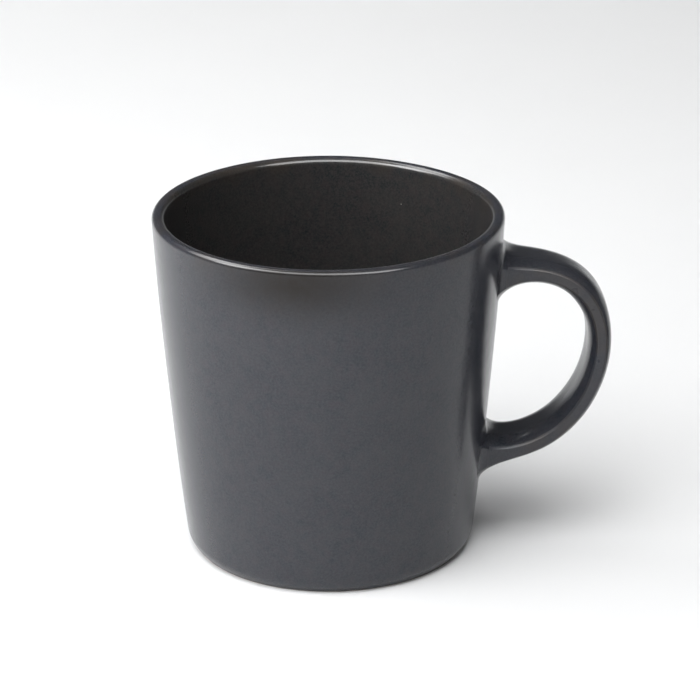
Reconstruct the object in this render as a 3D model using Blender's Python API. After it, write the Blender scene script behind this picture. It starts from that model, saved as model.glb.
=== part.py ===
"""A handled stoneware mug: a turned cup, a strap handle, and the two slip joints that bond them.

Run with blender --background --python part.py, or from the text editor. Metres, +Z up. The origin is
on the cup's axis in the plane it stands on, and the handle points along +X.
"""

import math

import bmesh
import bpy
import numpy as np

MM = 0.001

# Cup. The wall is a cone with a slight outward bow; both radii are read on that line, before rounding.
# The lip is rounded over two arcs, the wider one inside.
HEIGHT = 89.0 * MM
RIM_RADIUS = 44.4 * MM
BASE_RADIUS = 36.6 * MM
WALL_BOW = 0.7 * MM
RIM_THICKNESS = 3.4 * MM
LOW_WALL_THICKNESS = 4.4 * MM
FLOOR_THICKNESS = 5.5 * MM
LIP_INSIDE = 1.7 * MM
LIP_OUTSIDE = 1.2 * MM
FLOOR_CORNER = 9.0 * MM

# Foot: below FOOT_HEIGHT the wall turns in, over a rounded edge, to a bevelled band that the mug stands on.
FOOT_HEIGHT = 2.4 * MM
FOOT_RADIUS = 35.0 * MM
FOOT_EDGE = 5.0 * MM

# Handle, in the XZ plane: heights of its two roots, its widest point, and how far each bend leads.
UPPER_ROOT_HEIGHT = 73.1 * MM
LOWER_ROOT_HEIGHT = 24.3 * MM
REACH = 68.97 * MM
REACH_HEIGHT = 53.7 * MM
TOP_BEND = (64.0 * MM, 75.6 * MM)
TOP_BEND_RISE = 8.9 * MM
BOTTOM_BEND = (61.5 * MM, 23.8 * MM)
BOTTOM_BEND_DROP = 11.0 * MM

# The strap's section: two broad faces, nearly flat in the middle, that fall away towards two narrow sides
# as the SHOULDER power of the distance from the middle.
STRAP_THICKNESS = 5.95 * MM
STRAP_WIDTH = 16.0 * MM
STRAP_SIDE = 2.6 * MM
SHOULDER = 4

# The strap is thicker round its upper bend, by this share, at this length from the upper root.
SWELL = 0.12
SWELL_AT = 24.0 * MM
SWELL_LENGTH = 6.5 * MM

# The roots flare towards the wall by these shares of the strap's size, fading over the two lengths.
FLARE_THICKNESS = 1.22
FLARE_WIDTH = 0.42
FLARE_SIDE = 2.0
FLARE_LENGTH = 2.95 * MM
SIDE_FLARE_LENGTH = 3.6 * MM

# Slip joints, measured out from the wall.
CLEARANCE = 0.3 * MM
JOINT_THICKNESS = 1.2 * MM
JOINT_TOE = 0.9 * MM
HANDLE_START = 2 * CLEARANCE + JOINT_THICKNESS
BEDDED_LENGTH = 9.0 * MM

# How a joint's toe fades: at each share of its thickness out from the wall, the share of the toe left.
JOINT_FADE = ((0.0, 1.0), (0.35, 0.45), (0.7, 0.1), (1.0, 0.0))

# Fineness of the surfaces.
CUP_SEGMENTS = 90
WALL_STEPS = 5
LIP_STEPS = 4
FOOT_STEPS = 4
CORNER_STEPS = 5
CROWN_STEPS = 10
CURVE_STEPS = 80
STRAP_RINGS = 30
ROOT_CROWDING = 0.55
CAP_RINGS = (0.36, 0.7)
BEDDING_PASSES = 5
SMOOTH_BELOW = math.radians(40.0)


def clear_scene():
    """Remove every object of the startup scene."""
    for thing in list(bpy.data.objects):
        bpy.data.objects.remove(thing, do_unlink=True)


def glaze(name, color, roughness):
    """A dielectric coat of one colour."""
    material = bpy.data.materials.new(name)
    material.use_nodes = True
    shader = material.node_tree.nodes["Principled BSDF"]
    shader.inputs["Base Color"].default_value = (*color, 1.0)
    shader.inputs["Roughness"].default_value = roughness
    shader.inputs["Metallic"].default_value = 0.0
    return material


def wall_radius(z):
    """Outer radius of the cup's wall at height z."""
    t = z / HEIGHT
    return BASE_RADIUS + (RIM_RADIUS - BASE_RADIUS) * t + 4.0 * WALL_BOW * t * (1.0 - t)


def wall_lean(z):
    """Angle between the wall and the vertical at height z."""
    rise = RIM_RADIUS - BASE_RADIUS + 4.0 * WALL_BOW * (1.0 - 2.0 * z / HEIGHT)
    return math.atan2(rise, HEIGHT)


def inner_radius(z):
    """Radius of the cup's inside at height z: the wall thins from the floor to the rim."""
    return wall_radius(z) - LOW_WALL_THICKNESS + (LOW_WALL_THICKNESS - RIM_THICKNESS) * z / HEIGHT


def arc(center, radius, start, end, steps):
    """Points (r, z) on a circular arc, angles in radians, both ends included."""
    angles = np.linspace(start, end, steps + 1)
    return [(center[0] + radius * math.cos(a), center[1] + radius * math.sin(a)) for a in angles]


def cup_profile():
    """Half outline of the cup: out along the floor, up inside, over the lip, down and in below."""
    quarter = math.pi / 2
    corner_z = FLOOR_THICKNESS + FLOOR_CORNER
    corner_lean = wall_lean(corner_z)
    corner = (inner_radius(corner_z) - FLOOR_CORNER / math.cos(corner_lean), corner_z)
    lip_lean = wall_lean(HEIGHT)
    lip_low = HEIGHT - LIP_INSIDE
    lip_high = HEIGHT - LIP_OUTSIDE
    foot_lean = wall_lean(FOOT_HEIGHT)
    foot_slope = math.atan2(wall_radius(FOOT_HEIGHT) - FOOT_RADIUS, FOOT_HEIGHT)
    edge_z = FOOT_HEIGHT + FOOT_EDGE * math.tan((foot_slope - foot_lean) / 2) * math.cos(foot_lean)
    edge = (wall_radius(edge_z) - FOOT_EDGE * math.cos(foot_lean), edge_z + FOOT_EDGE * math.sin(foot_lean))

    inner_lip = (inner_radius(lip_low) + LIP_INSIDE / math.cos(lip_lean), lip_low)
    outer_lip = (wall_radius(lip_high) - LIP_OUTSIDE / math.cos(lip_lean), lip_high)
    up = arc(corner, FLOOR_CORNER, -quarter, -corner_lean, CORNER_STEPS)
    rim = arc(inner_lip, LIP_INSIDE, math.pi - lip_lean, quarter, LIP_STEPS)
    rim += arc(outer_lip, LIP_OUTSIDE, quarter, -lip_lean, LIP_STEPS)
    down = arc(edge, FOOT_EDGE, -foot_lean, -foot_slope, FOOT_STEPS)
    inside = [(inner_radius(z), z) for z in np.linspace(up[-1][1], rim[0][1], WALL_STEPS + 1)[1:-1]]
    outside = [(wall_radius(z), z) for z in np.linspace(rim[-1][1], down[0][1], WALL_STEPS + 1)[1:-1]]
    return [(0.0, FLOOR_THICKNESS), *up, *inside, *rim, *outside, *down, (FOOT_RADIUS, 0.0), (0.0, 0.0)]


def make_cup(material):
    """Turn the cup's half outline round the Z axis."""
    outline = [(r, 0.0, z) for r, z in cup_profile()]
    mesh = bpy.data.meshes.new("cup")
    mesh.from_pydata(outline, [(i, i + 1) for i in range(len(outline) - 1)], [])
    cup = bpy.data.objects.new("cup", mesh)
    bpy.context.scene.collection.objects.link(cup)
    turn = cup.modifiers.new("turn", "SCREW")
    turn.axis = "Z"
    turn.angle = 2.0 * math.pi
    turn.steps = CUP_SEGMENTS
    turn.render_steps = CUP_SEGMENTS
    turn.use_merge_vertices = True
    turn.merge_threshold = 0.01 * MM
    turn.use_smooth_shade = True
    mesh.materials.append(material)
    return cup


def bezier(points, steps):
    """Points on a cubic curve, both ends included."""
    a, b, c, d = (np.array(p) for p in points)
    t = np.linspace(0.0, 1.0, steps + 1)[:, None]
    s = 1.0 - t
    return s**3 * a + 3 * s * s * t * b + 3 * s * t * t * c + t**3 * d


def centreline():
    """The middle of the strap as (x, z) points, from the upper to the lower root, and lengths along it."""
    widest = (REACH, REACH_HEIGHT)
    upper = [
        (wall_radius(UPPER_ROOT_HEIGHT), UPPER_ROOT_HEIGHT),
        TOP_BEND,
        (REACH, REACH_HEIGHT + TOP_BEND_RISE),
        widest,
    ]
    lower = [
        widest,
        (REACH, REACH_HEIGHT - BOTTOM_BEND_DROP),
        BOTTOM_BEND,
        (wall_radius(LOWER_ROOT_HEIGHT), LOWER_ROOT_HEIGHT),
    ]
    points = np.concatenate([bezier(upper, CURVE_STEPS), bezier(lower, CURVE_STEPS)[1:]])
    lengths = np.concatenate([[0.0], np.cumsum(np.linalg.norm(np.diff(points, axis=0), axis=1))])
    return points, lengths


def crowned_section(half_thickness, half_width, half_side):
    """Corners (sideways, across) of the strap's section, anticlockwise: one crowned face, then the other."""
    share = np.sin(np.linspace(1.0, -1.0, CROWN_STEPS + 1) * math.pi / 2)
    crown = half_thickness - (half_thickness - half_side) * share**SHOULDER
    face = np.stack([half_width * share, crown], axis=1)
    return np.concatenate([face, -face])


def strap_ring(line, along, toe=0.0):
    """One cross-section of the strap, the given length along its centreline, larger by toe all round."""
    points, lengths = line
    total = lengths[-1]
    slopes = np.gradient(points, lengths, axis=0)
    x, z = (np.interp(along, lengths, points[:, i]) for i in (0, 1))
    dx, dz = (np.interp(along, lengths, slopes[:, i]) for i in (0, 1))
    tangent = np.array([dx, 0.0, dz]) / math.hypot(dx, dz)
    across = np.array([-tangent[2], 0.0, tangent[0]])
    from_wall = min(along, total - along)
    flare = math.exp(-from_wall / FLARE_LENGTH)
    side_flare = math.exp(-from_wall / SIDE_FLARE_LENGTH)
    swell = SWELL * math.exp(-(((along - SWELL_AT) / SWELL_LENGTH) ** 2))
    section = crowned_section(
        STRAP_THICKNESS / 2 * (1.0 + FLARE_THICKNESS * flare + swell) + toe,
        STRAP_WIDTH / 2 * (1.0 + FLARE_WIDTH * flare) + toe,
        STRAP_SIDE / 2 * (1.0 + FLARE_SIDE * side_flare) + toe,
    )
    ring = np.array([x, 0.0, z]) + section[:, :1] * np.array([0.0, 1.0, 0.0]) + section[:, 1:] * across
    outward = tangent if along < total / 2 else -tangent
    return bed(ring, outward, from_wall)


def bed(points, outward, distance):
    """Slide points along the strap so that, close to the cup, they keep one distance from its wall."""
    weight = max(0.0, 1.0 - max(0.0, distance - HANDLE_START) / BEDDED_LENGTH)
    moved = points.copy()
    for _ in range(BEDDING_PASSES):
        gap = np.hypot(moved[:, 0], moved[:, 1]) - wall_radius(moved[:, 2])
        moved += outward * (distance - gap)[:, None]
    return points + (moved - points) * weight


def cap(ring, outward, distance):
    """Shrinking rings that close a strap's end, curved like the wall that it faces."""
    middle = ring.mean(axis=0)
    return [bed(middle + (ring - middle) * share, outward, distance) for share in CAP_RINGS]


def make_skin(name, rings, material):
    """A closed smooth solid through a row of rings, its two ends filled round a middle point."""
    mesh = bpy.data.meshes.new(name)
    shape = bmesh.new()
    loops = [[shape.verts.new(point) for point in ring] for ring in rings]
    count = len(rings[0])
    for first, second in zip(loops, loops[1:]):
        for i in range(count):
            j = (i + 1) % count
            shape.faces.new((first[i], first[j], second[j], second[i]))
    for loop, ring in ((loops[0], rings[0]), (loops[-1], rings[-1])):
        middle = shape.verts.new(ring.mean(axis=0))
        for i in range(count):
            shape.faces.new((loop[i], loop[(i + 1) % count], middle))
    bmesh.ops.recalc_face_normals(shape, faces=shape.faces)
    shape.to_mesh(mesh)
    shape.free()
    mesh.materials.append(material)
    mesh.shade_smooth()
    mesh.set_sharp_from_angle(angle=SMOOTH_BELOW)
    thing = bpy.data.objects.new(name, mesh)
    bpy.context.scene.collection.objects.link(thing)
    return thing


def wall_outward(line, at_top):
    """The strap's direction where it leaves the wall."""
    points, _ = line
    step = points[1] - points[0] if at_top else points[-2] - points[-1]
    return np.array([step[0], 0.0, step[1]]) / np.linalg.norm(step)


def make_handle(line, material):
    """The strap between the two slip joints, with its rings crowded towards the flared roots."""
    span = line[1][-1] - 2.0 * HANDLE_START
    t = np.linspace(0.0, 1.0, STRAP_RINGS)
    stations = HANDLE_START + span * (t - ROOT_CROWDING * np.sin(2.0 * math.pi * t) / (2.0 * math.pi))
    rings = [strap_ring(line, along) for along in stations]
    start = cap(rings[0], wall_outward(line, True), HANDLE_START)
    end = cap(rings[-1], wall_outward(line, False), HANDLE_START)
    return make_skin("handle", [*start, *rings, *reversed(end)], material)


def make_joint(name, line, at_top, material):
    """A thin bead that fills the space between a root and the wall, widest at the wall."""
    total = line[1][-1]
    outward = wall_outward(line, at_top)
    rings = []
    for share, spread in JOINT_FADE:
        distance = CLEARANCE + JOINT_THICKNESS * share
        along = distance if at_top else total - distance
        rings.append(strap_ring(line, along, JOINT_TOE * spread))
    start = cap(rings[0], outward, CLEARANCE)
    end = cap(rings[-1], outward, CLEARANCE + JOINT_THICKNESS)
    return make_skin(name, [*start, *rings, *reversed(end)], material)


def main():
    clear_scene()
    mug = bpy.data.objects.new("mug", None)
    bpy.context.scene.collection.objects.link(mug)
    charcoal = (0.036, 0.036, 0.041)
    line = centreline()
    pieces = [
        make_cup(glaze("cup_glaze", charcoal, 0.22)),
        make_handle(line, glaze("handle_glaze", charcoal, 0.22)),
        make_joint("upper_slip_joint", line, True, glaze("upper_joint_glaze", charcoal, 0.25)),
        make_joint("lower_slip_joint", line, False, glaze("lower_joint_glaze", charcoal, 0.25)),
    ]
    for piece in pieces:
        piece.parent = mug


main()
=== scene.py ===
"""Looks of the stoneware mug: fine meshes, glaze and clay materials, studio floor, lights and camera."""

import math

import bpy
import numpy as np
from mathutils import Matrix, Vector, noise


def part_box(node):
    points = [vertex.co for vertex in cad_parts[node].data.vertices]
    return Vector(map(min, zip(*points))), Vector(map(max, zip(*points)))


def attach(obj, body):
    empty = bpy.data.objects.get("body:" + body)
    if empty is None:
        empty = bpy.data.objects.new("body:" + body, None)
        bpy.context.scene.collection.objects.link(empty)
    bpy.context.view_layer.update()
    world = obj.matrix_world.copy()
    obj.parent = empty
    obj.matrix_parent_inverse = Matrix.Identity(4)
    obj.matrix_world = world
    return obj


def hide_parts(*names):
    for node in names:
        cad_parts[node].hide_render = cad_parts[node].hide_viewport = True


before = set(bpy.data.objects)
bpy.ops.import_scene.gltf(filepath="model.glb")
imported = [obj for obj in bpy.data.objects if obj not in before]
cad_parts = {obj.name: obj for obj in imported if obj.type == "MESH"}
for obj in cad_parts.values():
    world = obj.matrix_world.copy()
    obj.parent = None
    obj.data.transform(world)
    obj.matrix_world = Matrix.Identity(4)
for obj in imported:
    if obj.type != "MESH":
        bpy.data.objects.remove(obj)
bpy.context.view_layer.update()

MM = 0.001
ROOT = "root"

# ---------------------------------------------------------------- sizes taken from the frame
CUP_LOW, CUP_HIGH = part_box("cup")
HANDLE_LOW, HANDLE_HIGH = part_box("handle")
HEIGHT = CUP_HIGH.z

# ---------------------------------------------------------------- cup
TAPER = 7.8 * MM
WALL_BOW = 0.7 * MM
RIM_THICKNESS = 3.4 * MM
LOW_WALL_THICKNESS = 4.4 * MM
FLOOR_THICKNESS = 5.5 * MM
LIP_INSIDE = 1.7 * MM
LIP_OUTSIDE = 1.2 * MM
FOOT_HEIGHT = 2.4 * MM
FOOT_RADIUS = 35.0 * MM
FOOT_EDGE = 5.0 * MM
FOOT_TOE = 0.35 * MM
FLOOR_CORNER = 9.0 * MM
CUP_SEGMENTS = 288
CORNER_STEPS = 16
EDGE_STEPS = 14
TOE_STEPS = 6
INSIDE_STEPS = 42
OUTSIDE_STEPS = 52
CLAY_WAVE = 26.0 * MM
CLAY_UNEVEN = 0.05 * MM
CLAY_LINE = 0.14 * MM
RIM_DIP = 0.36 * MM
RIM_DIP_AT = math.radians(42.0)
RIM_DIP_SPREAD = math.radians(34.0)
RIM_DIP_FADE = 14.0 * MM
# A darker, browner patch below the front of the lip: azimuth, height and how far it spreads round and down
# the wall.
DARK_PATCH_AT = math.radians(-104.0)
DARK_PATCH_HEIGHT = 85.5 * MM
DARK_PATCH_SPREAD = math.radians(25.0)
DARK_PATCH_DEPTH = 8.0 * MM

# ---------------------------------------------------------------- handle
UPPER_ROOT_HEIGHT = 73.1 * MM
LOWER_ROOT_HEIGHT = 24.3 * MM
STRAP_THICKNESS = 5.95 * MM
STRAP_WIDTH = 16.0 * MM
STRAP_SIDE = 2.6 * MM
STRAP_EDGE = 0.45 * MM
SHOULDER = 4
SWELL = 0.12
SWELL_AT = 24.0 * MM
SWELL_LENGTH = 6.5 * MM
REACH = HANDLE_HIGH.x - STRAP_THICKNESS / 2
REACH_HEIGHT = 53.7 * MM
TOP_BEND = (64.0 * MM, 75.6 * MM)
TOP_BEND_RISE = 8.9 * MM
BOTTOM_BEND = (61.5 * MM, 23.8 * MM)
BOTTOM_BEND_DROP = 11.0 * MM
FLARE_THICKNESS = 1.22
FLARE_WIDTH = 0.42
FLARE_SIDE = 2.0
FLARE_LENGTH = 2.95 * MM
SIDE_FLARE_LENGTH = 3.6 * MM
FILLET = 0.9 * MM
SUNK = 0.25 * MM
JOINT_END = 1.8 * MM
BEDDED_LENGTH = 9.0 * MM
ROOT_LENGTH = 14.0 * MM
CURVE_STEPS = 200
JOINT_RINGS = 22
ROOT_RINGS = 40
MIDDLE_RINGS = 150
STRAP_WAVE = 11.0 * MM
STRAP_UNEVEN = 0.09 * MM
THIN_EDGE = 0.5 * MM

# ---------------------------------------------------------------- colours
BLUE_GREY = (0.0150, 0.0195, 0.0275, 1.0)
PURPLE_GREY = (0.0270, 0.0250, 0.0325, 1.0)
PALE_GREY = (0.0335, 0.0345, 0.0395, 1.0)
GRAIN_GREY = (0.0410, 0.0430, 0.0495, 1.0)
BROWN = (0.042, 0.032, 0.024, 1.0)
PIT_CLAY = (0.17, 0.16, 0.15, 1.0)
# Colour of the darker patch below the front of the lip.
DARK_PATCH_BROWN = (0.015, 0.0125, 0.0105, 1.0)
# Multiplies the cup's inside: a warmer tone, and a little darkening that is painted shade inside the cup.
INNER_TINT_AND_SHADE = (1.04, 0.95, 0.78, 1.0)
CLAY_DARK = (0.22, 0.155, 0.105, 1.0)
CLAY_PALE = (0.30, 0.22, 0.155, 1.0)
CLAY_GRIT = (0.10, 0.07, 0.05, 1.0)
SHEET_DIM = (0.835, 0.84, 0.845, 1.0)
SHEET_PALE = (0.855, 0.86, 0.865, 1.0)
CARD_GREY = (0.05, 0.05, 0.052, 1.0)
CARD_PALE = (0.06, 0.06, 0.063, 1.0)

# ---------------------------------------------------------------- studio
CAMERA_DISTANCE = 797.4 * MM
CAMERA_HEIGHT = 372.6 * MM
CAMERA_AZIMUTH = math.radians(3.04)
CAMERA_LENS = 173.4
CAMERA_ROLL = -0.0043
AIM_RIGHT = 5.3 * MM
AIM_HEIGHT = 51.3 * MM
FLOOR_REACH = 3.0
FLOOR_SIDES = 96
CARD_LEFT = 77.5 * MM
CARD_WIDTH = 32.0 * MM
CARD_HEIGHT = 150.0 * MM
CARD_BACK = 1.7 * MM
# Each softbox: name, azimuth from +X and elevation (degrees), width and height (degrees), distance
# (metres), and how bright it is where it falls on surfaces and where it is seen mirrored in the glaze.
SOFTBOXES = [
    ("side", 197.0, 24.0, 52.0, 26.0, 0.55, 3.2, 5.0),
    ("low_left", 188.0, 8.0, 46.0, 14.0, 0.55, 1.4, 1.5),
    ("left_high", 180.0, 52.0, 40.0, 28.0, 0.55, 0.0, 8.5),
    ("front_key", 230.0, 51.0, 62.0, 26.0, 0.8, 2.75, 2.4),
    ("front_left", 235.0, 20.0, 30.0, 26.0, 0.55, 2.65, 0.0),
    ("front_mid", 262.0, 42.0, 44.0, 24.0, 0.8, 0.35, 0.8),
    ("front_high", 250.0, 58.0, 96.0, 34.0, 0.8, 0.0, 11.0),
    ("overhead", 285.0, 74.0, 38.0, 32.0, 1.1, 3.9, 7.0),
    ("overhead_left", 220.0, 76.0, 30.0, 26.0, 1.1, 1.55, 9.0),
    ("zenith", 150.0, 84.0, 22.0, 20.0, 1.1, 0.2, 10.0),
    ("lamp_middle", 113.0, 69.0, 24.0, 20.0, 1.1, 0.4, 10.0),
    ("lamp_left", 127.0, 57.0, 22.0, 20.0, 1.1, 0.0, 10.0),
    ("back_left", 145.0, 48.0, 40.0, 24.0, 1.1, 3.1, 3.1),
    ("behind", 103.0, 20.0, 60.0, 28.0, 1.1, 1.05, 1.7),
]
AMBIENT = 0.05
HORIZON = 0.8
HORIZON_TOP = 0.17
PALE = (0.93, 0.94, 0.95, 1.0)
FAR_GLOW = 0.9
FAR_GLOW_REACH = (0.55, 1.3)


def smoothstep(t):
    t = np.clip(t, 0.0, 1.0)
    return t * t * (3.0 - 2.0 * t)


# ================================================================ shape of the wall
def bow(z):
    """How far the wall stands in from the rim radius at height z: a cone's taper less a slight bow."""
    t = z / HEIGHT
    return TAPER * (1.0 - t) - 4.0 * WALL_BOW * t * (1.0 - t)


RIM_RADIUS = CUP_HIGH.x + bow(HEIGHT - LIP_OUTSIDE)


def wall_radius(z):
    return RIM_RADIUS - bow(z)


def wall_lean(z):
    rise = TAPER + 4.0 * WALL_BOW * (1.0 - 2.0 * z / HEIGHT)
    return math.atan2(rise, HEIGHT)


def inner_radius(z):
    return wall_radius(z) - LOW_WALL_THICKNESS + (LOW_WALL_THICKNESS - RIM_THICKNESS) * z / HEIGHT


def arc(center, radius, start, end, steps):
    angles = np.linspace(start, end, steps + 1)
    return [(center[0] + radius * math.cos(a), center[1] + radius * math.sin(a)) for a in angles]


def cup_outline():
    """Half outline of the cup: from its floor's middle, over the lip, to its underside's middle."""
    quarter = math.pi / 2
    corner_z = FLOOR_THICKNESS + FLOOR_CORNER
    corner_lean = wall_lean(corner_z)
    corner = (inner_radius(corner_z) - FLOOR_CORNER / math.cos(corner_lean), corner_z)
    lip_lean = wall_lean(HEIGHT)
    lip_low = HEIGHT - LIP_INSIDE
    lip_high = HEIGHT - LIP_OUTSIDE
    foot_slope = math.atan2(wall_radius(FOOT_HEIGHT) - FOOT_RADIUS, FOOT_HEIGHT)
    foot_lean = wall_lean(FOOT_HEIGHT)
    bend = foot_slope - foot_lean
    reach = FOOT_EDGE * math.tan(bend / 2)
    edge_z = FOOT_HEIGHT + reach * math.cos(foot_lean)
    edge_radius = wall_radius(edge_z) - FOOT_EDGE * math.cos(foot_lean)
    edge = (edge_radius, edge_z + FOOT_EDGE * math.sin(foot_lean))
    toe_reach = FOOT_TOE * math.tan((quarter - foot_slope) / 2)
    toe = (FOOT_RADIUS - toe_reach, FOOT_TOE)

    inner_lip = (inner_radius(lip_low) + LIP_INSIDE / math.cos(lip_lean), lip_low)
    outer_lip = (wall_radius(lip_high) - LIP_OUTSIDE / math.cos(lip_lean), lip_high)
    up = arc(corner, FLOOR_CORNER, -quarter, -corner_lean, CORNER_STEPS)
    rim = arc(inner_lip, LIP_INSIDE, math.pi - lip_lean, quarter, EDGE_STEPS)
    rim += arc(outer_lip, LIP_OUTSIDE, quarter, -lip_lean, EDGE_STEPS)
    down = arc(edge, FOOT_EDGE, -foot_lean, -foot_slope, EDGE_STEPS)
    tip = arc(toe, FOOT_TOE, -foot_slope, -quarter, TOE_STEPS)
    band = [tuple(p) for p in np.linspace(down[-1], tip[0], EDGE_STEPS)[1:-1]]
    floor = [(r, FLOOR_THICKNESS) for r in np.linspace(0.0, up[0][0], EDGE_STEPS)[:-1]]
    inside = [(inner_radius(z), z) for z in np.linspace(up[-1][1], rim[0][1], INSIDE_STEPS)[1:-1]]
    outside = [(wall_radius(z), z) for z in np.linspace(rim[-1][1], down[0][1], OUTSIDE_STEPS)[1:-1]]
    under = [(r, 0.0) for r in np.linspace(tip[-1][0], 0.0, EDGE_STEPS)[1:]]
    return np.array([*floor, *up, *inside, *rim, *outside, *down, *band, *tip, *under])


def wobble(points, wavelength, amount):
    """Smooth small unevenness of hand-finished clay, one value for each point."""
    return np.array([noise.noise(Vector(p) / wavelength) for p in points]) * amount


def finish_mesh(name, mesh, materials):
    for material in materials:
        mesh.materials.append(material)
    mesh.shade_smooth()
    thing = bpy.data.objects.new(name, mesh)
    bpy.context.scene.collection.objects.link(thing)
    return thing


def set_attribute(mesh, name, values):
    mesh.attributes.new(name, "FLOAT", "POINT").data.foreach_set("value", np.asarray(values, np.float32))


def rim_dip(points):
    """How far the hand-finished rim sits lower at the back right, fading down the wall."""
    off = np.arctan2(points[:, 1], points[:, 0]) - RIM_DIP_AT
    off = (off + math.pi) % (2.0 * math.pi) - math.pi
    near_rim = smoothstep(1.0 - (HEIGHT - points[:, 2]) / RIM_DIP_FADE)
    return RIM_DIP * np.exp(-((off / RIM_DIP_SPREAD) ** 2)) * near_rim


def front_dark_patch(points):
    """1 in the middle of the dark patch below the front of the lip, fading outward; 0 inside the cup."""
    off = (np.arctan2(points[:, 1], points[:, 0]) - DARK_PATCH_AT) / DARK_PATCH_SPREAD
    down = (points[:, 2] - DARK_PATCH_HEIGHT) / DARK_PATCH_DEPTH
    outside = np.linalg.norm(points[:, :2], axis=1) > wall_radius(points[:, 2]) - 1.0 * MM
    return np.exp(-(off**2) - down**2) * outside


def make_cup(glaze, clay):
    """Turn the cup's outline round the axis: a pole at each end and rings between."""
    outline = cup_outline()
    rings = outline[1:-1]
    angles = np.arange(CUP_SEGMENTS) * 2.0 * math.pi / CUP_SEGMENTS
    around = np.stack([np.cos(angles), np.sin(angles)], axis=1)
    points = np.empty((len(rings), CUP_SEGMENTS, 3))
    points[:, :, :2] = rings[:, None, :1] * around[None]
    points[:, :, 2] = rings[:, 1:]
    flat = points.reshape(-1, 3)
    sideways = flat[:, :2] / np.linalg.norm(flat[:, :2], axis=1)[:, None]
    out = np.concatenate([sideways, np.zeros((len(flat), 1))], axis=1)
    on_wall = smoothstep((flat[:, 2] - FOOT_HEIGHT) / (10 * MM))
    flat = flat + out * (wobble(flat, CLAY_WAVE, CLAY_UNEVEN) * on_wall)[:, None]
    flat[:, 2] -= rim_dip(flat)
    first = len(flat)
    vertices = np.concatenate([flat, [[0.0, 0.0, outline[0][1]], [0.0, 0.0, outline[-1][1]]]])
    faces = []
    for ring in range(len(rings) - 1):
        a = ring * CUP_SEGMENTS
        b = a + CUP_SEGMENTS
        for i in range(CUP_SEGMENTS):
            j = (i + 1) % CUP_SEGMENTS
            faces.append((a + i, a + j, b + j, b + i))
    last = (len(rings) - 1) * CUP_SEGMENTS
    for i in range(CUP_SEGMENTS):
        j = (i + 1) % CUP_SEGMENTS
        faces.append((first, j, i))
        faces.append((first + 1, last + i, last + j))
    mesh = bpy.data.meshes.new("cup_body")
    mesh.from_pydata(vertices.tolist(), [], faces)
    mesh.flip_normals()
    radius = np.linalg.norm(vertices[:, :2], axis=1)
    below_rim = (HEIGHT - vertices[:, 2]) / MM
    rim_break = np.exp(-((below_rim / 3.2) ** 2)) * (radius > RIM_RADIUS - 6 * MM)
    foot_break = np.exp(-((np.maximum(vertices[:, 2] / MM - 0.6, 0.0) / 1.1) ** 2)) * (radius > 20 * MM)
    set_attribute(mesh, "thin_glaze", np.maximum(rim_break, 0.6 * foot_break))
    # Where the darker, browner patch below the front of the lip lies.
    set_attribute(mesh, "front_dark_patch", front_dark_patch(vertices))
    # Marks the inside of the cup, which is tinted warmer and a little darker: the darkening is painted
    # shade.
    inward = wall_radius(vertices[:, 2]) - radius
    inside = smoothstep((inward - 2.0 * MM) / (1.0 * MM)) * (vertices[:, 2] > FOOT_HEIGHT)
    set_attribute(mesh, "inner_glaze_and_shade", inside)
    heights = np.array([vertices[list(face), 2].mean() for face in faces])
    mesh.polygons.foreach_set("material_index", (heights < CLAY_LINE).astype(np.int32))
    return finish_mesh("cup_body", mesh, [glaze, clay])


# ================================================================ shape of the handle
def bezier(points, steps):
    a, b, c, d = (np.array(p) for p in points)
    t = np.linspace(0.0, 1.0, steps + 1)[:, None]
    s = 1.0 - t
    return s**3 * a + 3 * s * s * t * b + 3 * s * t * t * c + t**3 * d


def centreline():
    """Points (x, z) down the middle of the strap, from wall to wall, and the length at each."""
    widest = (REACH, REACH_HEIGHT)
    top = (wall_radius(UPPER_ROOT_HEIGHT), UPPER_ROOT_HEIGHT)
    bottom = (wall_radius(LOWER_ROOT_HEIGHT), LOWER_ROOT_HEIGHT)
    upper = [top, TOP_BEND, (REACH, REACH_HEIGHT + TOP_BEND_RISE), widest]
    lower = [widest, (REACH, REACH_HEIGHT - BOTTOM_BEND_DROP), BOTTOM_BEND, bottom]
    points = np.concatenate([bezier(upper, CURVE_STEPS), bezier(lower, CURVE_STEPS)[1:]])
    lengths = np.concatenate([[0.0], np.cumsum(np.linalg.norm(np.diff(points, axis=0), axis=1))])
    return points, lengths


def strap_section(half_thickness, half_width, half_side, edge):
    """Outline (sideways, across): two crowned faces and two flat sides that meet in rounded edges."""
    a = half_thickness - edge
    b = half_width - edge
    h = half_side - edge
    share = np.sin(np.linspace(1.0, -1.0, 35) * math.pi / 2)
    sideways = b * share
    crown = a - (a - h) * share**SHOULDER
    lean = np.arctan(SHOULDER * (a - h) / b * share ** (SHOULDER - 1))
    face = np.stack([sideways + edge * np.sin(lean), crown + edge * np.cos(lean)], axis=1)
    turn = math.pi / 2 - lean[0]
    corner = np.linspace(0.0, turn, 8)[:-1]
    right = np.stack([b + edge * np.cos(corner), h + edge * np.sin(corner)], axis=1)
    left = right[::-1] * (-1.0, 1.0)
    half = np.concatenate([right, face, left])
    return np.concatenate([half, -half])


def bed(points, outward, distance):
    """Slide points along the strap so that, close to the cup, they keep one distance from its wall."""
    weight = 1.0 - max(0.0, distance - JOINT_END) / BEDDED_LENGTH
    moved = points.copy()
    for _ in range(5):
        gap = np.hypot(moved[:, 0], moved[:, 1]) - wall_radius(moved[:, 2])
        moved += outward * (distance - gap)[:, None]
    return points + (moved - points) * max(0.0, weight)


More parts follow.
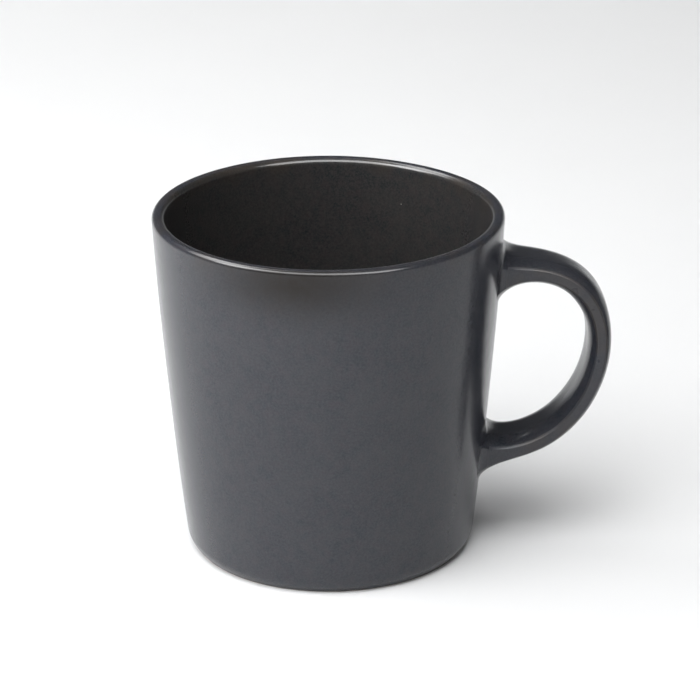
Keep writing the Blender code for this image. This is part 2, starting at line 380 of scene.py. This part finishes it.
def strap_rings():
    """All rings of the strap from the upper to the lower wall, and each ring's distance from the wall."""
    points, lengths = centreline()
    total = lengths[-1]
    slopes = np.gradient(points, lengths, axis=0)
    joint = np.linspace(-SUNK, JOINT_END, JOINT_RINGS)[:-1]
    root = np.concatenate([joint, np.linspace(JOINT_END, ROOT_LENGTH, ROOT_RINGS)[:-1]])
    middle = np.linspace(ROOT_LENGTH, total - ROOT_LENGTH, MIDDLE_RINGS)
    stations = np.concatenate([root, middle, total - root[::-1]])
    rings = []
    for along in stations:
        from_wall = min(along, total - along)
        at = np.clip(along, 0.0, total)
        x, z = (np.interp(at, lengths, points[:, i]) for i in (0, 1))
        dx, dz = (np.interp(at, lengths, slopes[:, i]) for i in (0, 1))
        tangent = np.array([dx, 0.0, dz]) / math.hypot(dx, dz)
        across = np.array([-tangent[2], 0.0, tangent[0]])
        flare = math.exp(-max(from_wall, 0.0) / FLARE_LENGTH)
        side_flare = math.exp(-max(from_wall, 0.0) / SIDE_FLARE_LENGTH)
        swell = SWELL * math.exp(-(((along - SWELL_AT) / SWELL_LENGTH) ** 2))
        lift = 1.0 - min(max(from_wall, 0.0) / FILLET, 1.0)
        toe = FILLET * (1.0 - math.sqrt(1.0 - lift**2)) * 0.8
        section = strap_section(
            STRAP_THICKNESS / 2 * (1.0 + FLARE_THICKNESS * flare + swell) + toe,
            STRAP_WIDTH / 2 * (1.0 + FLARE_WIDTH * flare) + toe,
            STRAP_SIDE / 2 * (1.0 + FLARE_SIDE * side_flare) + toe,
            STRAP_EDGE * (1.0 + flare),
        )
        middle_point = np.array([x, 0.0, z])
        ring = middle_point + section[:, :1] * np.array([0.0, 1.0, 0.0]) + section[:, 1:] * across
        outward = tangent if along < total / 2 else -tangent
        rings.append(bed(ring, outward, from_wall))
    return np.array(rings), np.minimum(stations, total - stations)


def grid_normals(rings):
    """Outward direction at every point of a tube of rings."""
    along = np.gradient(rings, axis=0)
    around = np.roll(rings, -1, axis=1) - np.roll(rings, 1, axis=1)
    normals = np.cross(around, along)
    normals /= np.linalg.norm(normals, axis=2)[:, :, None]
    centres = rings.mean(axis=1, keepdims=True)
    if (normals * (rings - centres)).sum() < 0.0:
        normals = -normals
    return normals


def make_tube(name, rings, normals, material, edges):
    """A closed tube through the rings, capped flat, whose sides keep the given normals."""
    count, size = rings.shape[:2]
    vertices = rings.reshape(-1, 3)
    faces = []
    for ring in range(count - 1):
        for i in range(size):
            j = (i + 1) % size
            a, b = ring * size, (ring + 1) * size
            faces.append((a + i, a + j, b + j, b + i))
    sides = len(faces)
    faces.append(tuple(range(size)))
    faces.append(tuple(range((count - 1) * size, count * size)))
    mesh = bpy.data.meshes.new(name)
    mesh.from_pydata(vertices.tolist(), [], faces)
    test = mesh.polygons[sides // 2]
    if Vector(normals.reshape(-1, 3)[test.vertices[0]]).dot(test.normal) < 0.0:
        mesh.flip_normals()
    ends = [mesh.polygons[sides], mesh.polygons[sides + 1]]
    centres = rings.mean(axis=1)
    outward = [centres[0] - centres[1], centres[-1] - centres[-2]]
    for end, direction in zip(ends, outward):
        if Vector(direction).dot(end.normal) < 0.0:
            end.flip()
    thing = finish_mesh(name, mesh, [material])
    flat = normals.reshape(-1, 3)
    loop_normals = []
    for polygon in mesh.polygons:
        cap = polygon.index >= sides
        loop_normals += [tuple(polygon.normal) if cap else tuple(flat[v]) for v in polygon.vertices]
    mesh.normals_split_custom_set(loop_normals)
    set_attribute(mesh, "thin_glaze", edges.reshape(-1))
    return thing


def edge_share(rings):
    """1 along the strap's four edges, where glaze runs thin, fading within half a millimetre or so."""
    section = strap_section(STRAP_THICKNESS / 2, STRAP_WIDTH / 2, STRAP_SIDE / 2, STRAP_EDGE)
    corner = np.array([STRAP_WIDTH / 2, STRAP_SIDE / 2])
    off = np.linalg.norm(np.abs(section) - corner, axis=1)
    share = np.exp(-((off / THIN_EDGE) ** 2))
    return np.repeat(share[None], len(rings), axis=0)


def make_handle(materials):
    """The strap and its two slip joints: one continuous skin, cut where the joints end."""
    rings, distances = strap_rings()
    normals = grid_normals(rings)
    flat = rings.reshape(-1, 3)
    fade = np.repeat(smoothstep(distances / (6 * MM)), rings.shape[1])
    push = wobble(flat, STRAP_WAVE, STRAP_UNEVEN) * fade
    rings = rings + (normals.reshape(-1, 3) * push[:, None]).reshape(rings.shape)
    normals = grid_normals(rings)
    edges = edge_share(rings)
    cut = int(np.argmax(distances >= JOINT_END - 1e-9))
    last = len(rings) - 1 - cut
    spans = {
        "upper_join": (slice(0, cut + 1), "upper_slip_joint"),
        "strap_handle": (slice(cut, last + 1), "handle"),
        "lower_join": (slice(last, len(rings)), "lower_slip_joint"),
    }
    pieces = []
    for name, (span, node) in spans.items():
        piece = make_tube(name, rings[span], normals[span], materials[name], edges[span])
        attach(piece, ROOT)
        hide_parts(node)
        pieces.append(piece)
    return pieces


# ================================================================ materials
def node(tree, kind, inputs=None, **settings):
    """Add a shader node. Inputs are values, or other nodes' outputs to link."""
    made = tree.nodes.new(kind)
    for name, value in settings.items():
        setattr(made, name, value)
    for name, value in (inputs or {}).items():
        if isinstance(value, bpy.types.NodeSocket):
            tree.links.new(value, made.inputs[name])
        else:
            made.inputs[name].default_value = value
    return made


def noise_value(tree, place, size, detail=2.0, roughness=0.5):
    """Smooth noise whose features are about the given size."""
    inputs = {"Vector": place, "Scale": 1.0 / size, "Detail": detail, "Roughness": roughness}
    return node(tree, "ShaderNodeTexNoise", inputs).outputs["Fac"]


def remap(tree, value, from_min, from_max, to_min, to_max):
    inputs = {"Value": value, "From Min": from_min, "From Max": from_max}
    inputs.update({"To Min": to_min, "To Max": to_max})
    return node(tree, "ShaderNodeMapRange", inputs).outputs["Result"]


def mix(tree, share, first, second):
    inputs = {"Fac": share, "Color1": first, "Color2": second}
    return node(tree, "ShaderNodeMixRGB", inputs).outputs["Color"]


def math_node(tree, operation, first, second):
    made = node(tree, "ShaderNodeMath", operation=operation)
    for socket, value in zip(made.inputs, (first, second)):
        if isinstance(value, bpy.types.NodeSocket):
            tree.links.new(value, socket)
        else:
            socket.default_value = value
    return made.outputs[0]


def new_material(name):
    material = bpy.data.materials.new(name)
    material.use_nodes = True
    tree = material.node_tree
    shader = tree.nodes["Principled BSDF"]
    place = node(tree, "ShaderNodeTexCoord").outputs["Object"]
    return material, tree, shader, place


def glaze_material(name, brown=0.5, dry_edge=0.0):
    """Satin charcoal glaze, blue to purple-grey: brown where thin, darker and less shiny in a patch below
    the front of the lip, warmer inside the cup with painted shade, with rare pits.
    """
    material, tree, shader, place = new_material(name)
    clouds = noise_value(tree, place, 9 * MM, 3.0)
    tint = noise_value(tree, place, 2.2 * MM, 3.0, 0.6)
    grain = noise_value(tree, place, 0.5 * MM, 3.0, 0.7)
    tone = mix(tree, remap(tree, tint, 0.35, 0.65, 0.0, 1.0), BLUE_GREY, PURPLE_GREY)
    tone = mix(tree, remap(tree, clouds, 0.35, 0.7, 0.0, 0.5), tone, PALE_GREY)
    tone = mix(tree, remap(tree, grain, 0.35, 0.65, 0.0, 0.75), tone, GRAIN_GREY)
    thin = node(tree, "ShaderNodeAttribute", attribute_name="thin_glaze").outputs["Fac"]
    ragged = math_node(tree, "MULTIPLY", thin, remap(tree, clouds, 0.42, 0.60, 0.0, 1.0))
    tone = mix(tree, math_node(tree, "MULTIPLY", ragged, brown), tone, BROWN)
    # A darker, browner patch below the front of the lip, which also reflects less.
    dark_patch = node(tree, "ShaderNodeAttribute", attribute_name="front_dark_patch").outputs["Fac"]
    dark_patch = math_node(tree, "MULTIPLY", dark_patch, remap(tree, tint, 0.25, 0.75, 0.8, 1.0))
    tone = mix(tree, dark_patch, tone, DARK_PATCH_BROWN)
    tree.links.new(remap(tree, dark_patch, 0.0, 1.0, 0.5, 0.26), shader.inputs["Specular IOR Level"])
    # Painted shade inside the cup: the inside is tinted warmer and a little darker.
    inner = node(tree, "ShaderNodeAttribute", attribute_name="inner_glaze_and_shade").outputs["Fac"]
    inner_warmth_and_shade = {"Fac": inner, "Color1": tone, "Color2": INNER_TINT_AND_SHADE}
    tone = node(tree, "ShaderNodeMixRGB", inner_warmth_and_shade, blend_type="MULTIPLY").outputs["Color"]

    scattered = {"Vector": place, "Scale": 1.0 / (4.2 * MM), "Randomness": 1.0}
    cells = node(tree, "ShaderNodeTexVoronoi", scattered)
    chosen = node(tree, "ShaderNodeSeparateColor", {"Color": cells.outputs["Color"]}).outputs["Red"]
    rare = math_node(tree, "GREATER_THAN", chosen, 0.985)
    spot = remap(tree, cells.outputs["Distance"], 0.030, 0.055, 1.0, 0.0)
    tone = mix(tree, math_node(tree, "MULTIPLY", rare, spot), tone, PIT_CLAY)
    tree.links.new(tone, shader.inputs["Base Color"])

    sheen = noise_value(tree, place, 3 * MM, 2.0)
    roughness = remap(tree, sheen, 0.3, 0.7, 0.16, 0.22)
    roughness = math_node(tree, "ADD", roughness, math_node(tree, "MULTIPLY", thin, dry_edge))
    tree.links.new(roughness, shader.inputs["Roughness"])
    peel = noise_value(tree, place, 1.6 * MM, 2.0)
    low = node(tree, "ShaderNodeBump", {"Height": peel, "Strength": 1.0, "Distance": 0.012 * MM})
    inputs = {"Height": grain, "Strength": 1.0, "Distance": 0.011 * MM, "Normal": low.outputs["Normal"]}
    fine = node(tree, "ShaderNodeBump", inputs)
    tree.links.new(fine.outputs["Normal"], shader.inputs["Normal"])
    shader.inputs["IOR"].default_value = 1.44
    return material


def clay_material(name):
    """Bare fired stoneware under the foot: warm grey-brown, gritty and matt."""
    material, tree, shader, place = new_material(name)
    clouds = noise_value(tree, place, 6 * MM, 4.0)
    grit = noise_value(tree, place, 0.35 * MM, 2.0, 0.7)
    tone = mix(tree, remap(tree, clouds, 0.3, 0.7, 0.0, 1.0), CLAY_DARK, CLAY_PALE)
    tone = mix(tree, remap(tree, grit, 0.58, 0.72, 0.0, 0.7), tone, CLAY_GRIT)
    tree.links.new(tone, shader.inputs["Base Color"])
    tree.links.new(remap(tree, grit, 0.2, 0.8, 0.78, 0.92), shader.inputs["Roughness"])
    bump = node(tree, "ShaderNodeBump", {"Height": grit, "Strength": 1.0, "Distance": 0.03 * MM})
    tree.links.new(bump.outputs["Normal"], shader.inputs["Normal"])
    return material


# ================================================================ studio
def floor_material():
    """Matt pale paper that glows far out, so that reflections see a bright room and not a black one."""
    material, tree, shader, place = new_material("studio_white")
    mottle = noise_value(tree, place, 60 * MM, 2.0)
    tone = mix(tree, mottle, SHEET_DIM, SHEET_PALE)
    tree.links.new(tone, shader.inputs["Base Color"])
    shader.inputs["Roughness"].default_value = 0.9
    shader.inputs["Specular IOR Level"].default_value = 0.2
    away = node(tree, "ShaderNodeVectorMath", operation="LENGTH")
    tree.links.new(place, away.inputs[0])
    glow = remap(tree, away.outputs["Value"], *FAR_GLOW_REACH, 0.0, FAR_GLOW)
    shader.inputs["Emission Color"].default_value = PALE
    tree.links.new(glow, shader.inputs["Emission Strength"])
    return material


def make_floor():
    """A plain pale sheet, wide enough to reach the horizon in a low view, and the card beside the mug."""
    around = np.arange(FLOOR_SIDES) * 2.0 * math.pi / FLOOR_SIDES
    vertices = [(FLOOR_REACH * math.cos(a), FLOOR_REACH * math.sin(a), 0.0) for a in around]
    mesh = bpy.data.meshes.new("studio_sheet")
    mesh.from_pydata(vertices, [], [tuple(range(FLOOR_SIDES))])
    floor = finish_mesh("studio_sheet", mesh, [floor_material()])
    make_card()


def make_card():
    """A grey card beside the mug that only reflections see: neither the camera nor the floor sees it."""
    turn = Matrix.Rotation(-CAMERA_AZIMUTH, 3, "Z")
    corners = [(0.0, 0.0), (CARD_WIDTH, 0.0), (CARD_WIDTH, CARD_HEIGHT), (0.0, CARD_HEIGHT)]
    vertices = [tuple(turn @ Vector((CARD_LEFT + x, CARD_BACK, z))) for x, z in corners]
    mesh = bpy.data.meshes.new("grey_card")
    mesh.from_pydata(vertices, [], [(0, 1, 2, 3)])
    card = finish_mesh("grey_card", mesh, [card_material()])
    card.visible_camera = False
    card.visible_diffuse = False
    card.visible_shadow = False
    card.visible_transmission = False
    return card


def card_material():
    material, tree, shader, place = new_material("grey_card")
    mottle = noise_value(tree, place, 20 * MM, 2.0)
    tone = mix(tree, mottle, CARD_GREY, CARD_PALE)
    tree.links.new(tone, shader.inputs["Base Color"])
    shader.inputs["Roughness"].default_value = 0.8
    return material


def softbox(name, azimuth, elevation, width, height, distance, falling, mirrored):
    """One softbox on a dome round the mug, sized by the angles it fills.

    It makes up to two area lights: one only falls on surfaces, and one is only seen mirrored in glaze.
    """
    a, e = math.radians(azimuth), math.radians(elevation)
    away = Vector((math.cos(e) * math.cos(a), math.cos(e) * math.sin(a), math.sin(e)))
    for kind, radiance in (("falling", falling), ("mirrored", mirrored)):
        if radiance == 0.0:
            continue
        data = bpy.data.lights.new(f"{name}_{kind}", "AREA")
        data.shape = "RECTANGLE"
        data.size = 2.0 * distance * math.tan(math.radians(width) / 2)
        data.size_y = 2.0 * distance * math.tan(math.radians(height) / 2)
        data.energy = radiance * data.size * data.size_y * math.pi
        lamp = bpy.data.objects.new(data.name, data)
        lamp.location = away * distance + Vector((0.0, 0.0, HEIGHT / 2))
        lamp.rotation_euler = away.to_track_quat("Z", "Y").to_euler()
        lamp.visible_camera = False
        lamp.visible_diffuse = kind == "falling"
        lamp.visible_glossy = kind == "mirrored"
        bpy.context.scene.collection.objects.link(lamp)


def make_lights():
    for row in SOFTBOXES:
        softbox(*row)
    world = bpy.data.worlds.new("studio")
    world.use_nodes = True
    tree = world.node_tree
    seen = node(tree, "ShaderNodeLightPath").outputs["Is Camera Ray"]
    direction = node(tree, "ShaderNodeTexCoord").outputs["Generated"]
    height = node(tree, "ShaderNodeSeparateXYZ", {"Vector": direction}).outputs["Z"]
    strength = remap(tree, height, 0.0, HORIZON_TOP, HORIZON, AMBIENT)
    strength = remap(tree, seen, 0.0, 1.0, strength, 1.0)
    tree.nodes["Background"].inputs["Color"].default_value = PALE
    tree.links.new(strength, tree.nodes["Background"].inputs["Strength"])
    bpy.context.scene.world = world


def make_camera():
    data = bpy.data.cameras.new("camera")
    data.lens = CAMERA_LENS
    data.clip_start = 0.05
    data.clip_end = 20.0
    camera = bpy.data.objects.new("camera", data)
    away = Vector((-math.sin(CAMERA_AZIMUTH), -math.cos(CAMERA_AZIMUTH), 0.0))
    right = Vector((math.cos(CAMERA_AZIMUTH), -math.sin(CAMERA_AZIMUTH), 0.0))
    camera.location = away * CAMERA_DISTANCE + Vector((0.0, 0.0, CAMERA_HEIGHT))
    target = right * AIM_RIGHT + Vector((0.0, 0.0, AIM_HEIGHT))
    rotation = (target - camera.location).to_track_quat("-Z", "Y")
    roll = Matrix.Rotation(CAMERA_ROLL, 3, "Z")
    camera.rotation_euler = (rotation.to_matrix() @ roll).to_euler()
    bpy.context.scene.collection.objects.link(camera)
    bpy.context.scene.camera = camera


def main():
    glaze = glaze_material("charcoal_glaze", brown=0.3)
    handle_glaze = glaze_material("charcoal_glaze_handle", brown=0.6, dry_edge=0.25)
    join_glaze = glaze_material("charcoal_glaze_joins", brown=0.3)
    clay = clay_material("bare_clay")
    cup = make_cup(glaze, clay)
    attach(cup, ROOT)
    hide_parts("cup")
    upper, strap, lower = make_handle(
        {"upper_join": join_glaze, "strap_handle": handle_glaze, "lower_join": join_glaze}
    )
    make_floor()
    make_lights()
    make_camera()
    bpy.context.scene.view_settings.view_transform = "Standard"


main()
